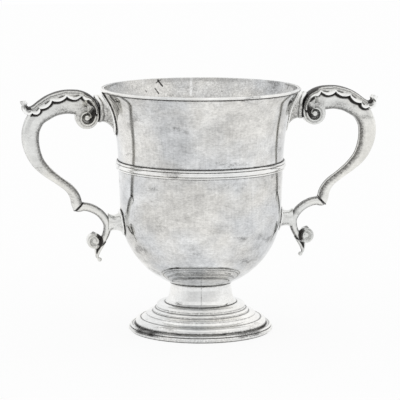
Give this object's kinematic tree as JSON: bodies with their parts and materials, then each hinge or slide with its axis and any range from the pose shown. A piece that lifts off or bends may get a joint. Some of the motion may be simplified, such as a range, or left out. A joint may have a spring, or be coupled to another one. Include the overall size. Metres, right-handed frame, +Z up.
{
  "type": "two-handled cup",
  "caption": "Silver footed cup with a deep bowl, a flared lip, a reeded girdle and S-scroll handles with leaf caps and volutes.",
  "frame": {"origin": "centre of the foot's underside, on the surface that the cup stands on", "axes": "+Z up along the bowl's axis, +X out through the right handle, -Y towards the front"},
  "size_m": [0.2228, 0.1242, 0.152],
  "materials": {
    "silver": "satin",
    "cast_silver": "satin"
  },
  "bodies": {
    "root": {"bowl": "silver", "rim_wire": "silver", "girdle": "silver", "foot_stem": "silver", "foot_dome": "silver", "foot_rim": "silver", "left_upper_socket": "cast_silver", "left_grip_front": "cast_silver", "left_grip_back": "cast_silver", "left_leaf_cap": "cast_silver", "left_lower_scroll": "cast_silver", "left_lower_socket": "cast_silver", "left_scroll_drop": "cast_silver", "right_upper_socket": "cast_silver", "right_grip_front": "cast_silver", "right_grip_back": "cast_silver", "right_leaf_cap": "cast_silver", "right_lower_scroll": "cast_silver", "right_lower_socket": "cast_silver", "right_scroll_drop": "cast_silver"}
  },
  "joints": []
}
